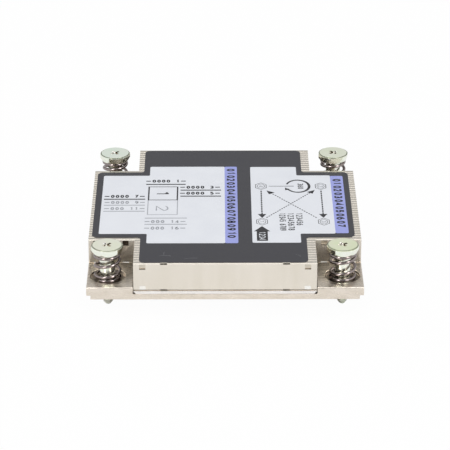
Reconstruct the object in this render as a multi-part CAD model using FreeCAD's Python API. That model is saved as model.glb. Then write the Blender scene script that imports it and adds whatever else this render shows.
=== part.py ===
import FreeCAD, Part

import math
import os

# Low passive heat sink for a server processor, seen standing on the tips of its four captive screws.
# All sizes are millimetres. X runs along the fins, Y from front to back and Z up.
# The origin lies under the middle of the object, at the height of the screw tips.

# Square hole pattern of the processor socket
screw_spacing_x = 80.0
screw_spacing_y = 80.0

# Captive screws: plain shoulder, hex head with a cross recess, short threaded end
shoulder_diameter = 5.3
shoulder_hole_play = 0.15
thread_diameter = 4.0
thread_length = 4.2
thread_point_diameter = 2.0
thread_point_length = 1.5
thread_point_sides = 16
head_sides = 6
head_cap_sides = 20
head_thickness = 2.6
head_cap_thickness = 0.5
head_cap_inset = 0.18
head_rim = 0.05
head_corner_cut = 0.7
head_corner_rise = 0.9
recess_width = 3.5
recess_wing = 0.95
recess_depth = 1.4
recess_floor_share = 0.5
recess_turn = 30.0

# How far each hex head is turned, in degrees about Z
head_turns = {"front_left": 12.0, "front_right": 0.0, "rear_left": 7.0, "rear_right": 11.0}

# Compression springs under the heads
wire_diameter = 1.1
spring_shoulder_gap = 0.95
spring_length = 9.9
spring_turns = 3.7
spring_end_closeness = 0.85
wire_sides = 6
stations_per_turn = 11

# Direction in which the lower end of each spring points, in degrees about Z
spring_turn_starts = {"front_left": -126.0, "front_right": 115.0, "rear_left": 90.0, "rear_right": -36.0}

# Retaining rings that keep the screws in the base
ring_thickness = 0.7
ring_overlap = 1.6
ring_groove_depth = 0.65
ring_radial_play = 0.05
ring_axial_play = 0.05
ring_mouth_share = 0.88
ring_seat_depth = 0.4
ring_seat_play = 0.35
shoulder_collar = 1.3

# Machined base with four raised corner pads round a cross-shaped pocket
ear_thickness = 4.4
pocket_floor_thickness = 2.0
counterbore_depth = 0.8
counterbore_side_play = 1.3
ear_rim_x = 0.95
ear_rim_y = 3.5
pad_inner_rim_x = 2.8
pocket_play = 0.2
step_height = 1.4
step_inset = 1.4
base_edge_break = 0.2

# Heat spreader that lies in the pocket under the fins
spreader_thickness = 1.1
spreader_edge_chamfer = 0.9
spreader_front_inset = 0.1

# Fins, folded from sheet and stacked from front to back
long_fin_count = 31
short_fin_count = 10
fins_per_short_node = 2
fin_sheet = 0.3
fin_height = 10.1
fin_front_inset = 0.55
fin_end_inset = 0.1
fin_stack_gap = 0.2
fin_bend = 0.35

# Lanced tongues that lock each fin to the next
tongue_width = 2.1
upper_tongue_height = 1.75
lower_tongue_height = 1.15
tongue_root = 0.4
tongue_press = 0.22
shown_tongue_lean = 14.0
tongue_slit = 0.15
tongue_inset_short = 3.1
tongue_inset_long = 3.1
outer_tongue_inset_long = 2.8
edge_notch_inset = 10.3
edge_notch_width = 2.35
edge_notch_height = 0.5
edge_notch_depth = 0.6

# Label film on top of the fins
label_thickness = 0.15
label_shift_x = -0.5
label_margin_block_x = 2.45
label_margin_block_y = 0.75
label_margin_arm_x = 1.6
label_margin_arm_y = 1.75
label_corner_radius = 2.0
label_inner_corner_radius = 1.2
label_corner_steps = 4

# How far a cutter runs past the face that it opens
overcut = 1.0

# Sizes that follow from the ones above, from the screw outwards
shoulder_radius = shoulder_diameter / 2
hole_radius = shoulder_radius + shoulder_hole_play
groove_radius = shoulder_radius - ring_groove_depth
spring_outer_radius = shoulder_radius + spring_shoulder_gap + wire_diameter
head_across_flats = 2 * (spring_outer_radius + head_rim)
head_half_side_angle = 180 / head_sides
head_corner_share = 1 / math.cos(math.radians(head_half_side_angle))
head_corner_radius = head_across_flats / 2 * head_corner_share
head_cap_radius = head_corner_radius - head_cap_inset
counterbore_radius = spring_outer_radius + counterbore_side_play
ring_outer_radius = hole_radius + ring_overlap

base_half_x = screw_spacing_x / 2 + counterbore_radius + ear_rim_x
base_half_y = screw_spacing_y / 2 + counterbore_radius + ear_rim_y
pocket_half_x = screw_spacing_x / 2 - counterbore_radius - pad_inner_rim_x
block_half_x = pocket_half_x - pocket_play
arm_half_x = base_half_x - fin_end_inset

stack_half_y = base_half_y - fin_front_inset
fin_count = long_fin_count + 2 * short_fin_count
fin_pitch = 2 * stack_half_y / fin_count
arm_half_y = long_fin_count * fin_pitch / 2
pocket_half_y = arm_half_y + pocket_play

# Heights
ring_z = thread_length + shoulder_collar + ring_axial_play
ring_seat_z = ring_z + ring_thickness
base_z = ring_seat_z - ring_seat_depth
pocket_z = base_z + pocket_floor_thickness
fin_z = pocket_z + spreader_thickness
fin_top_z = fin_z + fin_height
ear_top_z = base_z + ear_thickness
spring_seat_z = ear_top_z - counterbore_depth
head_z = spring_seat_z + spring_length

screw_places = {
    "front_left": (-screw_spacing_x / 2, -screw_spacing_y / 2),
    "front_right": (screw_spacing_x / 2, -screw_spacing_y / 2),
    "rear_left": (-screw_spacing_x / 2, screw_spacing_y / 2),
    "rear_right": (screw_spacing_x / 2, screw_spacing_y / 2),
}


def vec(x, y, z=0.0):
    return FreeCAD.Vector(x, y, z)


def cuboid(low, high):
    """A box from its lowest to its highest corner."""
    return Part.makeBox(high[0] - low[0], high[1] - low[1], high[2] - low[2], vec(*low))


def cylinder(radius, x, y, low, high):
    return Part.makeCylinder(radius, high - low, vec(x, y, low))


def prism(points, direction):
    """A closed outline, given by its corners, drawn out along a vector."""
    outline = Part.makePolygon(points + [points[0]])
    return Part.Face(outline).extrude(direction)


def cross_outline(block_x, block_y, arm_x, arm_y):
    """Corners of a plus sign: a block across Y and two arms along X."""
    quarter = [(arm_x, arm_y), (block_x, arm_y), (block_x, block_y)]
    right_rear = quarter
    left_rear = [(-x, y) for x, y in reversed(quarter)]
    left_front = [(-x, -y) for x, y in quarter]
    right_front = [(x, -y) for x, y in reversed(quarter)]
    return right_rear + left_rear + left_front + right_front


def cross_prism(block_x, block_y, arm_x, arm_y, low, height):
    corners = [vec(x, y, low) for x, y in cross_outline(block_x, block_y, arm_x, arm_y)]
    return prism(corners, vec(0, 0, height))


def rounded_corner(before, corner, after, radius, steps):
    """Points along the arc that rounds the right-angled corner of a level outline."""
    towards_before = (before - corner).normalize() * radius
    towards_after = (after - corner).normalize() * radius
    centre = corner + towards_before + towards_after
    points = []
    for step in range(steps + 1):
        angle = math.pi / 2 * step / steps
        points.append(centre - towards_after * math.cos(angle) - towards_before * math.sin(angle))
    return points


def make_base_plate():
    """One machined plate: thin middle, four thick corner pads, a step under both ends, spot-faced holes."""
    plate = cuboid((-base_half_x, -base_half_y, base_z), (base_half_x, base_half_y, ear_top_z))
    outer_top = [
        edge
        for edge in plate.Edges
        if all(abs(vertex.Point.z - ear_top_z) < 1e-6 for vertex in edge.Vertexes)
    ]
    plate = plate.makeChamfer(base_edge_break, outer_top)
    reach = base_half_x + base_half_y
    plate = plate.cut(
        cross_prism(pocket_half_x, reach, reach, pocket_half_y, pocket_z, ear_thickness)
    )
    for side in (-1, 1):
        inner = side * (base_half_x - step_inset)
        outer = side * reach
        low = (min(inner, outer), -reach, base_z - step_height)
        high = (max(inner, outer), reach, base_z + step_height)
        plate = plate.cut(cuboid(low, high))
    for x, y in screw_places.values():
        plate = plate.cut(cylinder(hole_radius, x, y, base_z - overcut, ear_top_z + overcut))
        plate = plate.cut(cylinder(counterbore_radius, x, y, spring_seat_z, ear_top_z + overcut))
        spot_radius = ring_outer_radius + ring_seat_play
        plate = plate.cut(cylinder(spot_radius, x, y, base_z - overcut, ring_seat_z))
    return plate


def make_heat_spreader():
    """Cross-shaped plate that fills the pocket, the lower edges beside its block chamfered."""
    spreader = cross_prism(
        block_half_x,
        base_half_y - spreader_front_inset,
        arm_half_x,
        arm_half_y,
        pocket_z,
        spreader_thickness,
    )
    lower_sides = []
    for edge in spreader.Edges:
        ends = [vertex.Point for vertex in edge.Vertexes]
        is_low = all(abs(point.z - pocket_z) < 1e-6 for point in ends)
        beside_block = all(abs(point.x - ends[0].x) < 1e-6 for point in ends)
        beside_block = beside_block and abs(abs(ends[0].x) - block_half_x) < 1e-6
        if is_low and beside_block:
            lower_sides.append(edge)
    return spreader.makeChamfer(spreader_edge_chamfer, lower_sides)


def fin_section(front):
    """Channel section of a folded fin in the YZ plane, open to the rear."""
    back = front + fin_pitch - fin_stack_gap
    inner = front + fin_sheet
    low, high = fin_z, fin_top_z
    return [
        (front, low + fin_bend),
        (front + fin_bend, low),
        (back, low),
        (back, low + fin_sheet),
        (inner, low + fin_sheet),
        (inner, high - fin_sheet),
        (back, high - fin_sheet),
        (back, high),
        (front + fin_bend, high),
        (front, high - fin_bend),
    ]


def tongue_ends(is_top):
    """Heights of a tongue's root and of its free end, and the direction from one to the other."""
    root = fin_top_z - tongue_root if is_top else fin_z + tongue_root
    step = -1 if is_top else 1
    height = upper_tongue_height if is_top else lower_tongue_height
    return root, root + step * height, step


def tongue_dent(x, front, is_top):
    """Cutter for the dent that a pressed tongue leaves in the web's face, deepest at its free end."""
    root, tip, _ = tongue_ends(is_top)
    proud = front - fin_sheet
    left = x - tongue_width / 2
    pressed = vec(left, front + tongue_press, tip)
    dent = [vec(left, front, root), vec(left, proud, root), vec(left, proud, tip), pressed]
    return prism(dent, vec(tongue_width, 0, 0))


def tongue_window(x, front, is_top):
    """Cutter for the window that a bent tongue leaves in the web."""
    root, tip, step = tongue_ends(is_top)
    low, high = sorted((root, tip + step * tongue_slit))
    left = x - tongue_width / 2
    return cuboid((left, front - fin_sheet, low), (left + tongue_width, front + 2 * fin_sheet, high))


def bent_tongue(x, front, is_top):
    """A tongue that leans back from its root in the web, towards the next fin."""
    root, tip, _ = tongue_ends(is_top)
    inner = front + fin_sheet
    left = x - tongue_width / 2
    bend = abs(tip - root) * math.tan(math.radians(shown_tongue_lean))
    sheet = [
        vec(left, front, root),
        vec(left, inner, root),
        vec(left, inner + bend, tip),
        vec(left, front + bend, tip),
    ]
    return prism(sheet, vec(tongue_width, 0, 0))


def edge_notch_cutters(x, front):
    """Shallow notches in a fin's upper and lower folds, where the fin in front hooks on."""
    left = x - edge_notch_width / 2
    right = x + edge_notch_width / 2
    proud = front - fin_sheet
    back = front + edge_notch_depth
    upper = cuboid((left, proud, fin_top_z - edge_notch_height), (right, back, fin_top_z + overcut))
    lower = cuboid((left, proud, fin_z - overcut), (right, back, fin_z + edge_notch_height))
    return [upper, lower]


def make_fin(index, half_length, tongue_insets, notch_insets=(), shows=False):
    """One folded fin at its place in the stack, with its tongues given by their distance from its ends."""
    front = -stack_half_y + index * fin_pitch
    section = [vec(-half_length, y, z) for y, z in fin_section(front)]
    fin = prism(section, vec(2 * half_length, 0, 0))
    cutters = []
    tongues = []
    for side in (-1, 1):
        for inset in tongue_insets:
            x = side * (half_length - inset)
            for is_top in (True, False):
                if shows:
                    cutters.append(tongue_window(x, front, is_top))
                    tongues.append(bent_tongue(x, front, is_top))
                else:
                    cutters.append(tongue_dent(x, front, is_top))
        for inset in notch_insets:
            cutters += edge_notch_cutters(side * (half_length - inset), front)
    fin = fin.cut(Part.makeCompound(cutters))
    return fin.fuse(tongues).removeSplitter() if tongues else fin


def make_short_fin(index):
    """A fin of the front or rear stack. The first one shows its face, so it carries every mark."""
    shows = index == 0
    notches = (edge_notch_inset,) if shows else ()
    return make_fin(index, block_half_x, (tongue_inset_short,), notches, shows)


def make_long_fin(index):
    """A fin that runs through both arms. The face of the first one shows beside the front stack."""
    shows = index == short_fin_count
    block_tongue = arm_half_x - block_half_x - tongue_inset_long
    insets = (block_tongue, outer_tongue_inset_long) if shows else (block_tongue,)
    return make_fin(index, arm_half_x, insets, (), shows)


def make_label():
    """Cross-shaped film with rounded corners, set a little to the left."""
    block_x = block_half_x - label_margin_block_x
    block_y = stack_half_y - label_margin_block_y
    arm_x = arm_half_x - label_margin_arm_x
    arm_y = arm_half_y - label_margin_arm_y
    cross = cross_outline(block_x, block_y, arm_x, arm_y)
    corners = [vec(x + label_shift_x, y, fin_top_z) for x, y in cross]
    outline = []
    for number, corner in enumerate(corners):
        before = corners[number - 1]
        after = corners[(number + 1) % len(corners)]
        is_inner = (before - corner).cross(after - corner).z > 0
        radius = label_inner_corner_radius if is_inner else label_corner_radius
        outline += rounded_corner(before, corner, after, radius, label_corner_steps)
    return prism(outline, vec(0, 0, label_thickness))


def ring_of_points(count, radius, turn, z, x=0.0, y=0.0):
    """Corners of a regular polygon round an upright axis."""
    points = []
    for corner in range(count):
        angle = math.radians(turn + 360 * corner / count)
        points.append(vec(x + radius * math.cos(angle), y + radius * math.sin(angle), z))
    return points


def frustum(lower, upper):
    """Solid between two level outlines with as many corners, their sides parallel."""
    faces = [Part.Face(Part.makePolygon(outline + [outline[0]])) for outline in (lower, upper)]
    for corner in range(len(lower)):
        after = (corner + 1) % len(lower)
        side = [lower[corner], lower[after], upper[after], upper[corner], lower[corner]]
        faces.append(Part.Face(Part.makePolygon(side)))
    return Part.Solid(Part.Shell(faces))


def make_cross_recess(x, y, turn):
    """Tapered cross socket, cut down from the top of a head."""
    top = head_z + head_thickness
    recess = None
    for quarter in (0, 90):
        outlines = []
        for length, z in ((recess_width * recess_floor_share, top - recess_depth), (recess_width, top)):
            a, b = length / 2, recess_wing / 2
            outlines.append([vec(-a, -b, z), vec(a, -b, z), vec(a, b, z), vec(-a, b, z)])
        wing = frustum(*outlines)
        wing.rotate(vec(0, 0), vec(0, 0, 1), turn + quarter)
        recess = wing if recess is None else recess.fuse(wing)
    recess.translate(vec(x, y, 0))
    return recess


def make_head(x, y, turn):
    """Round cap on a hexagon whose lower corners are taken off."""
    top = head_z + head_thickness
    outline = ring_of_points(head_sides, head_corner_radius, turn, head_z, x, y)
    hexagon = prism(outline, vec(0, 0, head_thickness - head_cap_thickness / 2))
    spread = head_thickness * head_corner_cut / head_corner_rise
    low_radius = (head_corner_radius - head_corner_cut) * head_corner_share
    top_radius = low_radius + spread * head_corner_share
    facing = turn + head_half_side_angle
    corner_cutter = frustum(
        ring_of_points(head_sides, low_radius, facing, head_z, x, y),
        ring_of_points(head_sides, top_radius, facing, top, x, y),
    )
    rim = ring_of_points(head_cap_sides, head_cap_radius, turn, top - head_cap_thickness, x, y)
    cap = prism(rim, vec(0, 0, head_cap_thickness))
    return hexagon.common(corner_cutter).fuse(cap)


def make_screw(place):
    """Captive screw: head, shoulder with a ring groove, threaded end left plain but for its point."""
    x, y = screw_places[place]
    turn = head_turns[place]
    groove_low = ring_z - ring_axial_play
    groove_high = ring_seat_z + ring_axial_play
    profile = [
        (0, thread_point_length),
        (thread_diameter / 2, thread_point_length),
        (thread_diameter / 2, thread_length),
        (shoulder_radius, thread_length),
        (shoulder_radius, groove_low),
        (groove_radius, groove_low),
        (groove_radius, groove_high),
        (shoulder_radius, groove_high),
        (shoulder_radius, head_z + head_thickness / 2),
        (0, head_z + head_thickness / 2),
    ]
    outline = [vec(x + radius, y, z) for radius, z in profile]
    face = Part.Face(Part.makePolygon(outline + [outline[0]]))
    stem = face.revolve(vec(x, y, 0), vec(0, 0, 1), 360)
    point = frustum(
        ring_of_points(thread_point_sides, thread_point_diameter / 2, turn, 0, x, y),
        ring_of_points(thread_point_sides, thread_diameter / 2, turn, thread_point_length, x, y),
    )
    screw = stem.fuse([point, make_head(x, y, turn)]).removeSplitter()
    return screw.cut(make_cross_recess(x, y, turn + recess_turn))


def make_retaining_ring(place):
    """Open ring that sits in the screw's groove, against its spot face under the base."""
    x, y = screw_places[place]
    inner = groove_radius + ring_radial_play
    ring = cylinder(ring_outer_radius, x, y, ring_z, ring_seat_z)
    ring = ring.cut(cylinder(inner, x, y, ring_z - overcut, ring_seat_z + overcut))
    half_mouth = inner * ring_mouth_share
    beyond = y + 2 * ring_outer_radius
    low = (x - half_mouth, y, ring_z - overcut)
    mouth = cuboid(low, (x + half_mouth, beyond, ring_seat_z + overcut))
    return ring.cut(mouth)


def spring_height(turn):
    """Height of the wire's centre above the seat, rising slowly at both ends and fast between."""
    share = turn / spring_turns
    ease = spring_end_closeness * math.sin(2 * math.pi * share) / (2 * math.pi)
    return wire_diameter / 2 + (spring_length - wire_diameter) * (share - ease)


def make_spring(place):
    """Right-handed compression spring, its wire drawn as short straight lengths with flat sides."""
    x, y = screw_places[place]
    coil_radius = spring_outer_radius - wire_diameter / 2
    wire_reach = wire_diameter / 2 / math.cos(math.pi / wire_sides)
    stations = round(spring_turns * stations_per_turn)
    loops = []
    for station in range(stations + 1):
        turn = spring_turns * station / stations
        angle = math.radians(spring_turn_starts[place]) + 2 * math.pi * turn
        outward = vec(math.cos(angle), math.sin(angle))
        centre = vec(x, y, spring_seat_z + spring_height(turn)) + outward * coil_radius
        loop = []
        for side in range(wire_sides):
            lean = 2 * math.pi * side / wire_sides
            across = outward * (wire_reach * math.cos(lean))
            loop.append(centre + across + vec(0, 0, wire_reach * math.sin(lean)))
        loops.append(loop)
    corners = []
    for before, after in zip(loops, loops[1:]):
        for side in range(wire_sides):
            beside = (side + 1) % wire_sides
            corners.append([before[side], after[side], after[beside]])
            corners.append([before[side], after[beside], before[beside]])
    outlines = corners + [loops[0], loops[-1]]
    shell = Part.makeShell([Part.Face(Part.makePolygon(loop + [loop[0]])) for loop in outlines])
    shell.sewShape()
    return Part.Solid(shell)


def collect_parts():
    """Every piece of the heat sink, by the name of its file."""
    parts = {
        "base_plate": make_base_plate(),
        "heat_spreader": make_heat_spreader(),
        "label": make_label(),
    }
    for number in range(long_fin_count):
        parts[f"long_fin_{number + 1:02d}"] = make_long_fin(short_fin_count + number)
    first_rear = short_fin_count + long_fin_count
    for row, first in (("front", 0), ("rear", first_rear)):
        for node in range(math.ceil(short_fin_count / fins_per_short_node)):
            start = node * fins_per_short_node
            stop = min(start + fins_per_short_node, short_fin_count)
            fins = [make_short_fin(first + index) for index in range(start, stop)]
            parts[f"{row}_fins_{node + 1}"] = Part.makeCompound(fins)
    for place in screw_places:
        parts[f"captive_screw_{place}"] = make_screw(place)
        parts[f"spring_{place}"] = make_spring(place)
        parts[f"retaining_ring_{place}"] = make_retaining_ring(place)
    return parts


os.makedirs("parts", exist_ok=True)
for name, shape in collect_parts().items():
    shape.exportStep(f"parts/{name}.step")
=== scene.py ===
"""Looks of a low passive heat sink for a server processor.

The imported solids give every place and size. This script dresses the fins and the film of the label, puts
finer pieces in the place of the base, the spreader, the screws, the springs and the rings, and prints the
label with thin fields of ink. Sizes are millimetres in the frame of the solids, and metres in the studio.
"""

import logging
import math
from dataclasses import dataclass
from enum import Enum

import bmesh
import bpy
from mathutils import Matrix, Vector

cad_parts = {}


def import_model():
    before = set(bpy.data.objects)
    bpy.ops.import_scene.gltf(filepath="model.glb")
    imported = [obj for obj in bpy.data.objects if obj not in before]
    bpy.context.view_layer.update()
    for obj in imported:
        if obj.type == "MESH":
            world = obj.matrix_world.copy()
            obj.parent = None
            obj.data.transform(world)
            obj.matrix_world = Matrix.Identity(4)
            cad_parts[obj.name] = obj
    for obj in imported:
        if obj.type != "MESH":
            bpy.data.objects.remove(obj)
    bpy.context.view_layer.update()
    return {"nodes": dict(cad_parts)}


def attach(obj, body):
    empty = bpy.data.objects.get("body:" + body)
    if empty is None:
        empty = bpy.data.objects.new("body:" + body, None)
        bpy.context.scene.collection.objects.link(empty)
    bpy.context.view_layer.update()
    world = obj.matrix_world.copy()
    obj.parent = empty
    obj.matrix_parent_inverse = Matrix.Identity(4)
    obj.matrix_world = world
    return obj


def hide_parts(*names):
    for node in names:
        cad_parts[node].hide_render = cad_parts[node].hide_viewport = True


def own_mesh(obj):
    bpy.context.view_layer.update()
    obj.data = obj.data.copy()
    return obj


MM = 0.001
LOG = logging.getLogger("heat_sink")
Point = tuple[float, float]
Triple = tuple[float, float, float]

# Corners nearer to each other than this become one, in metres.
MERGE_DISTANCE = 1e-6
FINE_MERGE_DISTANCE = 1e-7
# Room for rounding errors where faces are told apart by their place, in millimetres.
SLACK = 0.01
# Edges that turn less than this are shaded smooth.
SMOOTH_DEGREES = 20.0
# Nearly all values of a noise lie between these two.
NOISE_LOW = 0.3
NOISE_HIGH = 0.7
WHITE = (1.0, 1.0, 1.0, 1.0)


class Place(Enum):
    """The four corners of the heat sink, each with its screw's axis in millimetres."""

    FRONT_LEFT = ("front_left", -40.0, -40.0)
    FRONT_RIGHT = ("front_right", 40.0, -40.0)
    REAR_LEFT = ("rear_left", -40.0, 40.0)
    REAR_RIGHT = ("rear_right", 40.0, 40.0)

    @property
    def label(self) -> str:
        """The word that the corner's pieces carry in their names."""
        return self.value[0]

    @property
    def axis(self) -> Point:
        """The screw's axis, in millimetres."""
        return self.value[1], self.value[2]


# Small tools


def to_linear(hex_colour: str) -> tuple[float, float, float, float]:
    """Turn an sRGB hex colour into a linear one, with the numbers of the sRGB curve.

    Args:
        hex_colour: Six hex digits after a hash sign.

    Returns:
        Red, green and blue as linear light, and an alpha of 1.
    """
    channels = []
    for start in (1, 3, 5):
        value = int(hex_colour[start : start + 2], 16) / 255
        channels.append(value / 12.92 if value <= 0.04045 else ((value + 0.055) / 1.055) ** 2.4)
    return channels[0], channels[1], channels[2], 1.0


def add_node(
    tree: bpy.types.NodeTree, kind: str, inputs: dict | None = None, settings: dict | None = None
) -> bpy.types.Node:
    """Add a shader node, set it and link it.

    Args:
        tree: The node tree that gets the node.
        kind: The node's type name.
        inputs: Values or output sockets, by the name or number of the input.
        settings: Properties of the node.

    Returns:
        The new node.
    """
    node = tree.nodes.new(kind)
    for key, value in (settings or {}).items():
        setattr(node, key, value)
    for key, value in (inputs or {}).items():
        if isinstance(value, bpy.types.NodeSocket):
            tree.links.new(value, node.inputs[key])
        else:
            node.inputs[key].default_value = value
    return node


def new_material(name: str) -> tuple[bpy.types.Material, bpy.types.NodeTree]:
    """Start a material.

    Args:
        name: The material's name.

    Returns:
        The material and its node tree, which is empty.
    """
    material = bpy.data.materials.new(name)
    material.use_nodes = True
    material.node_tree.nodes.clear()
    return material, material.node_tree


def surface_noise(tree: bpy.types.NodeTree, size_mm: Triple, detail: float) -> bpy.types.NodeSocket:
    """Noise in the frame of the object, with its spots as long as asked along X, Y and Z.

    Args:
        tree: The node tree.
        size_mm: The real size of a spot along each axis.
        detail: How many finer layers are added.

    Returns:
        The noise's socket, from 0 to 1.
    """
    place = add_node(tree, "ShaderNodeTexCoord")
    scale = tuple(1 / (size * MM) for size in size_mm)
    mapping = add_node(tree, "ShaderNodeMapping", {"Vector": place.outputs["Object"], "Scale": scale})
    inputs = {"Vector": mapping.outputs["Vector"], "Scale": 1.0, "Detail": detail, "Roughness": 0.55}
    return add_node(tree, "ShaderNodeTexNoise", inputs).outputs["Fac"]


def colour_ramp(
    tree: bpy.types.NodeTree, factor: bpy.types.NodeSocket, stops: list[tuple[float, str]]
) -> bpy.types.NodeSocket:
    """Map a factor to a row of colours.

    Args:
        tree: The node tree.
        factor: The socket that drives the ramp.
        stops: Positions from 0 to 1, each with a hex colour.

    Returns:
        The ramp's colour socket.
    """
    ramp = add_node(tree, "ShaderNodeValToRGB", {"Fac": factor})
    elements = ramp.color_ramp.elements
    for element, (position, colour) in zip(elements, (stops[0], stops[-1])):
        element.position = position
        element.color = to_linear(colour)
    for position, colour in stops[1:-1]:
        elements.new(position).color = to_linear(colour)
    return ramp.outputs["Color"]


def value_range(
    tree: bpy.types.NodeTree, factor: bpy.types.NodeSocket, middle: float, spread: float
) -> bpy.types.NodeSocket:
    """Spread the middle of a noise over a range of values.

    Args:
        tree: The node tree.
        factor: The noise's socket.
        middle: The middle of the range.
        spread: How far the range goes to either side.

    Returns:
        The socket that carries the values.
    """
    inputs = {
        "Value": factor,
        "From Min": NOISE_LOW,
        "From Max": NOISE_HIGH,
        "To Min": middle - spread,
        "To Max": middle + spread,
    }
    return add_node(tree, "ShaderNodeMapRange", inputs).outputs["Result"]


def relief(
    tree: bpy.types.NodeTree, height: bpy.types.NodeSocket, depth_mm: float, strength: float
) -> bpy.types.NodeSocket:
    """Turn a noise into fine relief.

    Args:
        tree: The node tree.
        height: The noise's socket.
        depth_mm: How deep the relief is.
        strength: How much of it shows, from 0 to 1.

    Returns:
        The socket of the changed normals.
    """
    inputs = {"Height": height, "Strength": strength, "Distance": depth_mm * MM}
    return add_node(tree, "ShaderNodeBump", inputs).outputs["Normal"]


def close_material(tree: bpy.types.NodeTree, inputs: dict) -> None:
    """End a material in a principled shader with the given inputs."""
    shader = add_node(tree, "ShaderNodeBsdfPrincipled", inputs)
    add_node(tree, "ShaderNodeOutputMaterial", {"Surface": shader.outputs["BSDF"]})


def make_object(name: str, mesh: bmesh.types.BMesh, smooth_degrees: float | None = None) -> bpy.types.Object:
    """Turn a bmesh into an object at the origin.

    Args:
        name: The object's name.
        mesh: The bmesh, in metres, which is freed.
        smooth_degrees: Edges that turn less than this are shaded smooth. None leaves the faces flat.

    Returns:
        The object, linked to the scene.
    """
    bmesh.ops.recalc_face_normals(mesh, faces=mesh.faces)
    data = bpy.data.meshes.new(name)
    mesh.to_mesh(data)
    mesh.free()
    if smooth_degrees is not None:
        data.shade_smooth()
        data.set_sharp_from_angle(angle=math.radians(smooth_degrees))
    piece = bpy.data.objects.new(name, data)
    bpy.context.scene.collection.objects.link(piece)
    return piece


def dress(piece: bpy.types.Object, material: bpy.types.Material) -> None:
    """Give an object one material."""
    piece.data.materials.clear()
    piece.data.materials.append(material)


def dress_faces(piece: bpy.types.Object, material: bpy.types.Material, numbers: list[int]) -> None:
    """Give some faces of an object a material of their own.

    Args:
        piece: The object.
        material: The material.
        numbers: The numbers of the faces.
    """
    piece.data.materials.append(material)
    for number in numbers:
        piece.data.polygons[number].material_index = len(piece.data.materials) - 1


def lathe(mesh: bmesh.types.BMesh, profile: list[Point], steps: int) -> None:
    """Spin a profile of (radius, height) points, in millimetres, round the Z axis.

    Args:
        mesh: The bmesh that gets the turned shape.
        profile: The points in order, from the axis and back to it.
        steps: How many flats go round.
    """
    corners = [mesh.verts.new((radius * MM, 0, height * MM)) for radius, height in profile]
    edges = [mesh.edges.new(pair) for pair in zip(corners, corners[1:])]
    bmesh.ops.spin(
        mesh,
        geom=corners + edges,
        cent=(0, 0, 0),
        axis=(0, 0, 1),
        angle=2 * math.pi,
        steps=steps,
        use_merge=True,
    )
    bmesh.ops.remove_doubles(mesh, verts=mesh.verts, dist=MERGE_DISTANCE)


def is_sharp(edge: bmesh.types.BMEdge, degrees: float) -> bool:
    """Say whether the faces of an edge turn by more than some degrees."""
    return edge.is_manifold and edge.calc_face_angle() > math.radians(degrees)


def round_edges(mesh: bmesh.types.BMesh, edges: list[bmesh.types.BMEdge], width_mm: float) -> None:
    """Round some edges of a bmesh.

    Args:
        mesh: The bmesh.
        edges: The edges.
        width_mm: How far each edge is taken back.
    """
    bmesh.ops.bevel(
        mesh,
        geom=edges,
        offset=width_mm * MM,
        offset_type="OFFSET",
        segments=2,
        profile=0.5,
        affect="EDGES",
        clamp_overlap=True,
        material=-1,
    )


def softened_copy(node: bpy.types.Object, name: str, width_mm: float) -> bpy.types.Object:
    """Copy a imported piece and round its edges.

    Args:
        node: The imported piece.
        name: The copy's name.
        width_mm: How far each edge is taken back.

    Returns:
        The copy, smooth between its edges.
    """
    flat_angle = math.radians(1)
    sharp_degrees = 30
    mesh = bmesh.new()
    mesh.from_mesh(node.data)
    bmesh.ops.remove_doubles(mesh, verts=mesh.verts, dist=MERGE_DISTANCE)
    bmesh.ops.dissolve_limit(mesh, angle_limit=flat_angle, verts=mesh.verts, edges=mesh.edges)
    round_edges(mesh, [edge for edge in mesh.edges if is_sharp(edge, sharp_degrees)], width_mm)
    return make_object(name, mesh, SMOOTH_DEGREES)


# Finishes


@dataclass(frozen=True)
class NickelPlate:
    """Nickel plating on aluminium or copper: warm and satin, with the grain of the tool or the rolls."""

    name: str
    pale: str
    dark: str
    roughness: float
    roughness_spread: float
    grain_mm: Triple
    grain_depth_mm: float
    patch_mm: Triple
    grain_strength: float = 0.4

    def make(self) -> bpy.types.Material:
        """Build the material: patches of tone, and fine grain in the gloss and the relief.

        Returns:
            The material.
        """
        material, tree = new_material(self.name)
        patches = surface_noise(tree, self.patch_mm, 3.0)
        colour = colour_ramp(tree, patches, [(NOISE_LOW, self.dark), (NOISE_HIGH, self.pale)])
        grain = surface_noise(tree, self.grain_mm, 2.0)
        gloss = value_range(tree, grain, self.roughness, self.roughness_spread)
        normal = relief(tree, grain, self.grain_depth_mm, self.grain_strength)
        close_material(tree, {"Base Color": colour, "Metallic": 1.0, "Roughness": gloss, "Normal": normal})
        return material


@dataclass(frozen=True)
class PlatedSteel:
    """Plated, rubbed or drawn steel: a smooth metal with a faint drift of colour."""

    name: str
    colours: tuple[str, str, str]
    roughness: float
    drift_mm: float
    metal: float = 1.0
    drift_stops: Triple = (0.35, 0.5, 0.65)
    speck_mm: float = 0.4
    gloss_spread: float = 0.2

    def make(self) -> bpy.types.Material:
        """Build the material: slow drift between three tones, and a little unevenness in the gloss.

        Returns:
            The material.
        """
        material, tree = new_material(self.name)
        drift = surface_noise(tree, (self.drift_mm, self.drift_mm, self.drift_mm), 2.0)
        colour = colour_ramp(tree, drift, list(zip(self.drift_stops, self.colours)))
        specks = surface_noise(tree, (self.speck_mm, self.speck_mm, self.speck_mm), 2.0)
        gloss = value_range(tree, specks, self.roughness, self.roughness * self.gloss_spread)
        close_material(tree, {"Base Color": colour, "Metallic": self.metal, "Roughness": gloss})
        return material


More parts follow.
